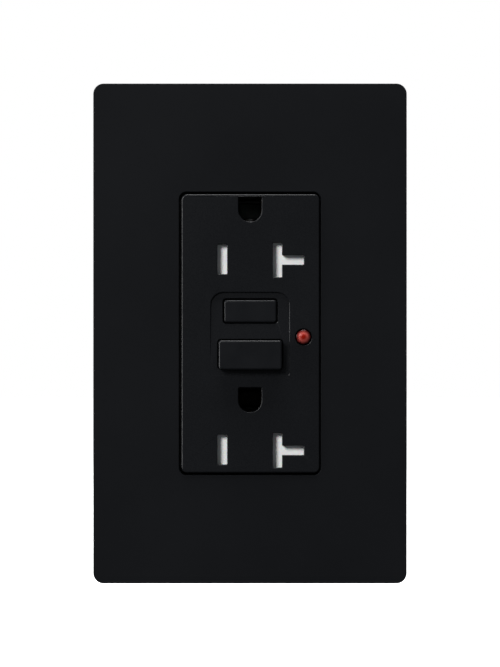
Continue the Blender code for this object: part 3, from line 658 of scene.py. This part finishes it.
def wall_plate():
    """The screwless plate: one rolled edge all round, and a collar behind its window."""
    low, high = box_mm("wall_plate")
    width, height = high.x - low.x, high.z - low.z
    corner, edge, chamfer = 2.5, 0.2, 0.15
    wall, front = 2.0, low.y
    inside = front + wall
    window = (33.7, 67.4, 1.7)
    window_edge = 0.22
    collar_wall, collar_back = 1.2, -3.7
    collar = [size + 2 * collar_wall for size in window[:2]] + [window[2] + collar_wall]
    hollow = (width - 2 * wall, height - 2 * wall, 1.0)
    rings = rolled_edge(width, height, corner, front, edge)
    rings += rolled_edge(*window, front, window_edge, hole=True)
    rings += [(*window, collar_back), (*collar, collar_back), (*collar, inside)]
    rings += [(*hollow, inside), (*hollow, 0)]
    rings += [(width - 2 * chamfer, height - 2 * chamfer, corner - chamfer, 0)]
    rings += [(width, height, corner, -chamfer)]
    shells = [swept(rings)]
    tab_height, tab_depth, tab_root, tab_back, tab_pitch = 7.4, 1.0, 0.5, -1.8, 36
    tab_corner, tab_edge = 0.4, 0.2
    tab_x = width / 2 - wall + (tab_root - tab_depth) / 2
    for side in (-1, 1):
        for z in (-tab_pitch, 0, tab_pitch):
            tab = rectangle(tab_depth + tab_root, tab_height, tab_corner, (side * tab_x, z), 3)
            shells.append(moulding([tab], inside - tab_root, tab_back, tab_edge))
    show("wall_plate_moulding", joined(*shells), ["wall_plate"])


ROW_Z = {"upper": 17.5, "lower": -27.85}  # heights of the two rows of slots
PIN_ABOVE = 11.9  # from a row of slots up to its ground pin
SLOT_X = 6.5
STRAIGHT_SLOT = (2.3, 7.1, 0.25)  # width, height and corner
STRAIGHT_SLOT_X, STRAIGHT_SLOT_ABOVE = -6.6, 0.2
PANEL_HALF, PANEL_TOP, PANEL_CORNER, PANEL_FOOT_CORNER = 9.35, 9.8, 3.0, 0.3
PANEL_CREASE = -6.5  # below this height the panel runs level with the face
PANEL_DEPTH, PANEL_FOOT_DEPTH = 0.55, 0.02


def t_slot(row_z):
    """The T-shaped slot for 15 A and 20 A blades."""
    left, right, far = SLOT_X - 1.05, SLOT_X + 1.12, 12.82
    stem, arm, corner = 4.1, 1.1, 0.22
    points = [(left, -stem), (right, -stem), (right, -arm), (far, -arm)]
    points += [(far, arm), (right, arm), (right, stem), (left, stem)]
    return softened([(x, row_z + z) for x, z in points], corner)


def ground_hole(pin_z):
    """The ground hole: flat on top, round below."""
    half, corner, flat_above = 2.78, 0.3, 3.1
    top = pin_z + flat_above
    right = arc((half - corner, top - corner), corner, 0, 90, 4)
    left = arc((-half + corner, top - corner), corner, 90, 180, 4)
    return right + left + arc((0, pin_z), half, 180, 360, 24)


def creased(mesh, axis, level):
    """The mesh with an extra line of points at one place along an axis, so that it can bend there."""
    work = bmesh.new()
    work.from_mesh(mesh)
    everything = work.verts[:] + work.edges[:] + work.faces[:]
    across_it = Vector([name == axis for name in "xyz"])
    bmesh.ops.bisect_plane(work, geom=everything, plane_co=across_it * level * MM, plane_no=across_it)
    work.to_mesh(mesh)
    work.free()
    return mesh


def panel_outline(grow):
    """The panel round the buttons: large corners above and square ones below."""
    half, top, corner = PANEL_HALF + grow, PANEL_TOP + grow, PANEL_CORNER + grow
    foot = PANEL_FOOT_CORNER
    outline = arc((half - corner, top - corner), corner, 0, 90, 12)
    outline += arc((corner - half, top - corner), corner, 90, 180, 12)
    outline += arc((foot - half, foot - top), foot, 180, 270, 4)
    return outline + arc((half - foot, foot - top), foot, 270, 360, 4)


def widen_rim(mesh, rim, front, edge, factor):
    """Draws the rounding of a plate's front rim wider than the rounding of its holes."""
    width, height, radius, centre = rim
    slack = 0.01
    for vertex in mesh.vertices:
        place = vertex.co / MM
        x, z = place.x - centre[0], place.z - centre[1]
        past = Vector((max(abs(x) - width / 2 + radius, 0), max(abs(z) - height / 2 + radius, 0)))
        inset = radius - past.length
        if inset > edge + slack or place.y > front + edge + slack:
            continue
        inward = past.normalized() * inset * (factor - 1)
        vertex.co.x -= math.copysign(inward.x, x) * MM
        vertex.co.z -= math.copysign(inward.y, z) * MM
        vertex.co.y += (place.y - front) * (factor - 1) * MM


def front_cover():
    """The face with its slots, the sloping panel behind it, and the walls that run back from it."""
    skin_thick, overlap = 1.8, 0.3
    front = box_mm("front_cover")[0].y
    back = front + skin_thick
    lens_low, lens_high = box_mm("indicator_lens")
    light_at = ((lens_low.x + lens_high.x) / 2, (lens_low.z + lens_high.z) / 2)
    light_width = 3.9
    light_corner = light_width / 2 - 0.001  # almost a full circle
    holes = [panel_outline(0), rectangle(light_width, light_width, light_corner, light_at, 12)]
    for row_z in ROW_Z.values():
        holes.append(rectangle(*STRAIGHT_SLOT, (STRAIGHT_SLOT_X, row_z + STRAIGHT_SLOT_ABOVE), 4))
        holes.append(t_slot(row_z))
        holes.append(ground_hole(row_z + PIN_ABOVE))
    rim, edge = (32.8, 66.3, 1.3, (0.14, 0)), 0.2
    face = moulding([rectangle(*rim)] + holes, front, back, edge)
    widen_rim(face, rim, front, edge, factor=1.6)
    floor_grow, floor_thick, floor_edge = 0.5, 1.2, 0.15
    test_opening = rectangle(13.1, 6.0, 0.8, (0.05, 5.34), 6)
    reset_opening = rectangle(15.6, 7.2, 0.8, (0.05, -4.97), 6)
    outlines = [panel_outline(floor_grow), test_opening, reset_opening]
    panel = creased(moulding(outlines, 0, floor_thick, floor_edge), "z", PANEL_CREASE)
    for vertex in panel.vertices:
        share = max(0, (vertex.co.z / MM - PANEL_CREASE) / (PANEL_TOP - PANEL_CREASE))
        depth = PANEL_FOOT_DEPTH + (PANEL_DEPTH - PANEL_FOOT_DEPTH) * share
        vertex.co.y += (front + depth) * MM
    reach_x, reach_z, ahead = 17, 34, 5
    in_front = block((-reach_x, reach_x), (front - ahead, back - overlap), (-reach_z, reach_z))
    walls = without(welded("front_cover"), in_front)
    show("front_cover_moulding", joined(face, panel, walls), ["front_cover"])


def button(node, width, height, edge, drop=0.0):
    """A push button: a cap with a rolled edge, over the flange and rod that the frame gives it."""
    low, high = box_mm(node)
    aside, corner, overlap, reach, ahead = 0.08, 0.6, 0.4, 12, 5
    centre = ((low.x + high.x) / 2 + aside, (low.z + high.z) / 2 - drop)
    cap_back = -5.6
    cap = moulding([rectangle(width, height, corner, centre, 6)], low.y, cap_back, edge)
    in_front = block((-reach, reach), (low.y - ahead, cap_back - overlap), (-reach, reach))
    behind = without(welded(node), in_front)
    show(f"{node}_moulding", joined(cap, behind), [node])


def indicator():
    """The red light pipe with its polished dome, and the lamp behind it."""
    low, high = box_mm("indicator_lens")
    centre = ((low.x + high.x) / 2, (low.z + high.z) / 2)
    radius = (high.x - low.x) / 2
    cap, rim, steps = 0.5, 0.12, 12
    top = low.y + cap
    profile = []
    for step in range(steps + 1):
        share = step / steps
        profile.append((share * (radius - rim), low.y + cap * share**2))
    profile += [(radius - 0.03, top + 0.05), (radius, top + rim)]
    stem, foot, neck = 1.1, 0.9, -6.2
    profile += [(radius, neck), (stem, neck + 0.1), (stem, high.y - 0.2), (foot, high.y), (0, high.y)]
    show("indicator_lens_dome", turned("y", centre, profile), ["indicator_lens"])
    low, high = box_mm("indicator_lamp")
    bulb, flange = 1.3, 1.6
    shoulder = high.y - 0.8
    profile = []
    for step in range(11):
        turn = math.radians(90 * step / 10)
        profile.append((bulb * math.sin(turn), low.y + bulb * (1 - math.cos(turn))))
    profile += [(bulb, shoulder), (flange, shoulder), (flange, high.y), (0, high.y)]
    show("indicator_lamp_bulb", turned("y", centre, profile, 32), ["indicator_lamp"])


# ---------------------------------------------------------------- screws, springs and windings


def thread(axis, centre, radius, start, stop, pitch, sides=24):
    """A screw's shank: the radius rises and falls once a pitch, and the crest climbs as it turns."""
    rows_per_pitch, tip_share, tip_taper = 5, 0.45, 1.5
    rows = round(abs(stop - start) / pitch * rows_per_pitch)
    depth = 0.3 * pitch
    loops = []
    for row in range(rows + 1):
        along = start + (stop - start) * row / rows
        left = abs(stop - along)
        point = min(1, tip_share + left / (tip_taper * radius))
        loop = []
        for side in range(sides):
            phase = (abs(along - start) / pitch + side / sides) % 1
            groove = depth * (1 - abs(2 * phase - 1))
            loop.append(across(axis, centre, (radius - groove) * point, 2 * math.pi * side / sides, along))
        loops.append(loop)
    return skin(loops, closed=False)


def screw(node, axis, top, shank, head_height, slot, pitch, finish=None, cross=False):
    """A pan-head screw in the place of its CAD node. top is the end of the axis with its head, -1 or 1."""
    low, high = box_mm(node)
    index = "xyz".index(axis)
    centre = tuple((low[i] + high[i]) / 2 for i in range(3) if i != index)
    radius = max(high[i] - low[i] for i in range(3) if i != index) / 2
    face, tip = (low[index], high[index]) if top < 0 else (high[index], low[index])
    seat = face - top * head_height
    crown, under_edge = 0.35 * head_height, 0.12
    slot_depth, cross_arm = 0.45 * head_height, 0.62 * radius
    profile = [(0, face)]
    for step in range(7):
        turn = math.radians(90 * step / 6)
        rise = crown * (1 - math.cos(turn))
        profile.append((radius - crown * (1 - math.sin(turn)), face - top * rise))
    profile += [(radius, seat + top * under_edge), (radius - under_edge, seat), (0, seat)]
    head = turned(axis, centre, profile, 40)
    depth = sorted((face + top, face - top * slot_depth))
    reach = radius + 1
    slit = [(centre[0] - reach, centre[0] + reach), (centre[1] - slot / 2, centre[1] + slot / 2)]
    slit.insert(index, depth)
    head = without(head, block(*slit))
    if cross:
        slit = [(centre[0] - slot / 2, centre[0] + slot / 2), (centre[1] - cross_arm, centre[1] + cross_arm)]
        slit.insert(index, depth)
        head = without(head, block(*slit))
    bite = 0.2  # the shank starts this far inside the head
    shaft = thread(axis, centre, shank, seat + top * bite, tip, pitch)
    show(f"{node}_threaded", joined(head, shaft), [node], finish)


def screws():
    plain = {"slot": 1.0, "pitch": 0.8}
    terminal = {"shank": 1.9, "head_height": 2.2, "slot": 1.1, "pitch": 0.8, "cross": True}
    box = {"shank": 1.7, "head_height": 2.2, "finish": SCREW_STEEL, "cross": True, **plain}
    assembly = {"shank": 1.2, "head_height": 1.6, "slot": 0.7, "pitch": 0.9}
    for end in ("upper", "lower"):
        screw(f"adapter_screw_{end}", "y", -1, shank=1.6, head_height=1.5, slot=0.8, pitch=0.8)
        screw(f"box_screw_{end}", "y", -1, **box)
        for hand in ("left", "right"):
            name = f"assembly_screw_{end}_{hand}"
            screw(name, "y", 1, **assembly, finish=SCREW_STEEL, cross=True)
    for row in ("load", "line"):
        screw(f"{row}_screw_hot", "x", -1, **terminal)
        screw(f"{row}_screw_neutral", "x", 1, **terminal)
    screw("ground_screw", "z", -1, shank=1.9, head_height=2.4, **plain)


def compression_spring(node, axis, turns, wire_radius, fixed):
    """A coil spring in the place of its CAD node, with its own copy of its mesh."""
    low, high = box_mm(node)
    index = "xyz".index(axis)
    centre = tuple((low[i] + high[i]) / 2 for i in range(3) if i != index)
    radius = min(high[i] - low[i] for i in range(3) if i != index) / 2 - wire_radius
    coil = helix(axis, centre, radius, low[index] + wire_radius, high[index] - wire_radius, turns)
    obj = show(f"{node}_coil", wire(coil, wire_radius), [node], sharp=80)
    anchor = [(low[i] + high[i]) / 2 * MM for i in range(3)]
    anchor[index] = (high[index] if fixed > 0 else low[index]) * MM
    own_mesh(obj)


def torsion_spring(name):
    """The light spring that swings a shutter shut, round the shutter's own pin."""
    node = f"shutter_spring_{name}"
    pin = box_mm(f"shutter_{name}")[1]
    axis = (pin.y - 0.5, pin.z - 0.5)
    low, high = box_mm(node)
    coil_radius, wire_radius, turns = 0.95, 0.14, 5
    coil_start, coil_length, per_turn = -2.0, 3.6, 24
    coil = []
    for step in range(turns * per_turn + 1):
        angle = 2 * math.pi * step / per_turn
        along = coil_start + coil_length * step / (turns * per_turn)
        coil.append(across("x", axis, coil_radius, angle, along))
    end_inset, foot_drop, arm_rise = 0.15, 0.9, 1.2
    foot = (low.x + end_inset, axis[0] + coil_radius, axis[1] - foot_drop)
    arm = (high.x - end_inset, axis[0] + coil_radius, axis[1] + arm_rise)
    show(f"{node}_coil", wire([foot] + coil + [arm], wire_radius), [node], sharp=80)


def ring_winding(node, turns):
    """A toroid: enamelled wire wound through and round a taped core."""
    low, high = box_mm(node)
    centre = ((low.x + high.x) / 2, (low.z + high.z) / 2)
    outer, half_depth, middle_y = (high.x - low.x) / 2, (high.y - low.y) / 2, (low.y + high.y) / 2
    strand, inner, corner, sunk = 0.2, 4.6, 0.6, 0.1
    middle = (outer + inner) / 2
    half_wide, half_deep = (outer - inner) / 2 - strand, half_depth - strand
    section = rectangle(2 * half_wide, 2 * half_deep, corner, (0, 0), 3)
    points = []
    count = turns * len(section)
    for step in range(count):
        angle = 2 * math.pi * step / count
        radial, depth = section[step % len(section)]
        points.append(across("y", centre, middle + radial, angle, middle_y + depth))
    core_section = rectangle(2 * (half_wide - sunk), 2 * (half_deep - sunk), corner, (0, 0), 3)
    profile = [(middle + radial, middle_y + depth) for radial, depth in core_section]
    core = turned("y", centre, profile, closed=True)
    show(f"{node}_wound", joined(core, wire(points, strand, 6, closed=True)), [node], sharp=80)


def solenoid_winding():
    """The solenoid's wire, laid in one level layer of turns side by side."""
    low, high = box_mm("solenoid_winding")
    centre = ((low.x + high.x) / 2, (low.y + high.y) / 2)
    bore, radius, strand = 2.6, (high.x - low.x) / 2, 0.22
    turns = round((high.z - low.z) / (2 * strand))
    profile = [(bore, low.z), (radius - strand, low.z)]
    for turn in range(turns):
        middle = low.z + (high.z - low.z) * (turn + 0.5) / turns
        for angle in (-60, -30, 0, 30, 60):
            lift, climb = strand * math.cos(math.radians(angle)), strand * math.sin(math.radians(angle))
            profile.append((radius - strand + lift, middle + climb))
    profile += [(radius - strand, high.z), (bore, high.z)]
    layer = turned("z", centre, profile, 40, closed=True)
    show("solenoid_winding_layer", layer, ["solenoid_winding"], sharp=80)


# ---------------------------------------------------------------- everything else

# Each radius, in millimetres, and the pieces whose edges it eases.
EASED = {
    0.05: ["circuit_board"],
    0.06: ["hot_contact_strip", "neutral_contact_strip", "test_contact"],
    0.08: ["contact_arm_hot", "contact_arm_neutral", "latch_plate", "reset_pin"],
    0.09: ["shutter_upper", "shutter_lower"],
    0.1: ["separator", "solenoid_plunger", "controller_chip"],
    0.12: ["plate_adapter", "solenoid_bobbin", "solenoid_frame"],
    0.15: ["yoke_strap", "latch_block"],
    0.2: ["rear_housing", "sensing_coil"],
    0.25: ["surge_varistor"],
}


def ground_contact(node):
    """A ground contact whose two leaves flare open at the front, to lead the pin in."""
    flare, lead_in, leaf_side, edge = 0.5, 3.0, 3.2, 0.06
    front = box_mm(node)[0].y
    mesh = creased(welded(node), "y", front + lead_in)
    for vertex in mesh.vertices:
        share = 1 - (vertex.co.y / MM - front) / lead_in
        if share > 0 and abs(vertex.co.x) < leaf_side * MM:
            vertex.co.x += math.copysign(flare * share * MM, vertex.co.x)
    show(f"{node}_flared", eased(mesh, edge), [node])


def inner_pieces():
    for edge, nodes in EASED.items():
        for node in nodes:
            finer(node, edge)
    for end in ROW_Z:
        ground_contact(f"ground_contact_{end}")
        finer(f"shutter_bracket_{end}", 0.08)
        finer(f"screw_retainer_{end}", 0.06)
    for row in ("load", "line"):
        for pole in ("hot", "neutral"):
            finer(f"{row}_terminal_{pole}", 0.08)
            finer(f"{row}_clamp_{pole}", 0.12)


def springs():
    compression_spring("reset_spring", "y", 6, 0.25, fixed=1)
    compression_spring("plunger_spring", "z", 3, 0.2, fixed=-1)
    for name in ROW_Z:
        torsion_spring(name)


# ---------------------------------------------------------------- studio

FRONT_PIECES = (
    "wall_plate_moulding",
    "front_cover_moulding",
    "test_button_moulding",
    "reset_button_moulding",
    "indicator_lens_dome",
)


def lamp(name, direction, distance_m, size_m, power, round_lamp=True):
    """A soft lamp that shines at the middle of the face from a direction."""
    data = bpy.data.lights.new(name, "AREA")
    data.shape = "DISK" if round_lamp else "SQUARE"
    data.size = size_m
    data.energy = power
    obj = bpy.data.objects.new(name, data)
    away = Vector(direction).normalized()
    obj.location = away * distance_m
    obj.rotation_euler = away.to_track_quat("Z", "Y").to_euler()
    bpy.context.scene.collection.objects.link(obj)
    return obj


def keep_light_on(lamps, pieces):
    """Keeps some lamps' light on a few pieces, as flags in a studio keep it off what stands behind."""
    lit = bpy.data.collections.new("lit_by_the_boards")
    for piece in pieces:
        lit.objects.link(piece)
    for each in lamps:
        each.light_linking.receiver_collection = lit


def studio():
    """A soft key from the upper left, boards above and at the left that draw the edges, and lamps behind."""
    lamp("key", (-0.56, -1.0, 0.46), 1.5, 0.55, 21.5)
    top = lamp("top_board", (0, -0.06, 1.0), 3.6, 2.25, 430.0, round_lamp=False)
    left = lamp("left_board", (-1.0, -0.06, 0.1), 3.6, 2.25, 335.0, round_lamp=False)
    lamp("back_left", (-0.7, 1.0, 0.5), 1.4, 1.0, 16.0)
    lamp("back_right", (0.8, 0.9, 0.15), 1.2, 0.6, 12.0)
    lamp("side_left", (-1.0, 0.35, 0.25), 1.5, 0.8, 9.0)
    keep_light_on((top, left), [bpy.data.objects[name] for name in FRONT_PIECES])
    world = bpy.data.worlds.new("studio")
    bpy.context.scene.world = world
    world.use_nodes = True
    tree = world.node_tree
    tree.nodes.clear()
    seen = add(tree, "LightPath", {}, {}).outputs["Is Camera Ray"]
    dim = add(tree, "Background", {}, {"Color": (0.9, 0.95, 1.0, 1.0), "Strength": 0.15}).outputs[0]
    white = add(tree, "Background", {}, {"Color": (1, 1, 1, 1), "Strength": 1.0}).outputs[0]
    mix = add(tree, "MixShader", {}, {0: seen, 1: dim, 2: white}).outputs[0]
    add(tree, "OutputWorld", {}, {"Surface": mix})


def floor():
    """A pale board well below the outlet. It is bright enough to read as white, and lights nothing."""
    work = bmesh.new()
    reach, drop = 4000, 26
    level = cad_low.z / MM - drop
    corners = [(-reach, -reach), (reach, -reach), (reach, reach), (-reach, reach)]
    work.faces.new([work.verts.new((x, y, level)) for x, y in corners])
    mesh = mesh_of(work, "floor")
    board = painted_studio_board()
    shader = board.node_tree.nodes["Principled BSDF"]
    shader.inputs["Emission Color"].default_value = (1, 1, 1, 1)
    shader.inputs["Emission Strength"].default_value = 1.0
    mesh.materials.append(board)
    obj = bpy.data.objects.new("floor", mesh)
    bpy.context.scene.collection.objects.link(obj)
    obj.visible_diffuse = False
    obj.visible_glossy = False
    obj.visible_transmission = False


def camera():
    """A long lens, square on to the plate, that leaves a margin all round."""
    data = bpy.data.cameras.new("camera")
    data.lens = 200
    data.sensor_width = 36
    data.clip_start, data.clip_end = 0.01, 20
    margin = 1.334  # the height seen over the plate's own
    seen_height = (cad_high.z - cad_low.z) * margin
    distance = seen_height * data.lens / data.sensor_width
    obj = bpy.data.objects.new("camera", data)
    obj.location = (0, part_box("wall_plate")[0].y - distance, 0)
    obj.rotation_euler = (math.radians(90), 0, 0)
    bpy.context.scene.collection.objects.link(obj)
    bpy.context.scene.camera = obj
    bpy.context.scene.view_settings.view_transform = "Standard"


camera()
floor()
wall_plate()
front_cover()
button("test_button", 12.4, 5.36, 0.4, drop=0.12)
button("reset_button", 15.0, 7.0, 0.42)
indicator()
screws()
springs()
ring_winding("neutral_coil", 48)
solenoid_winding()
inner_pieces()
studio()
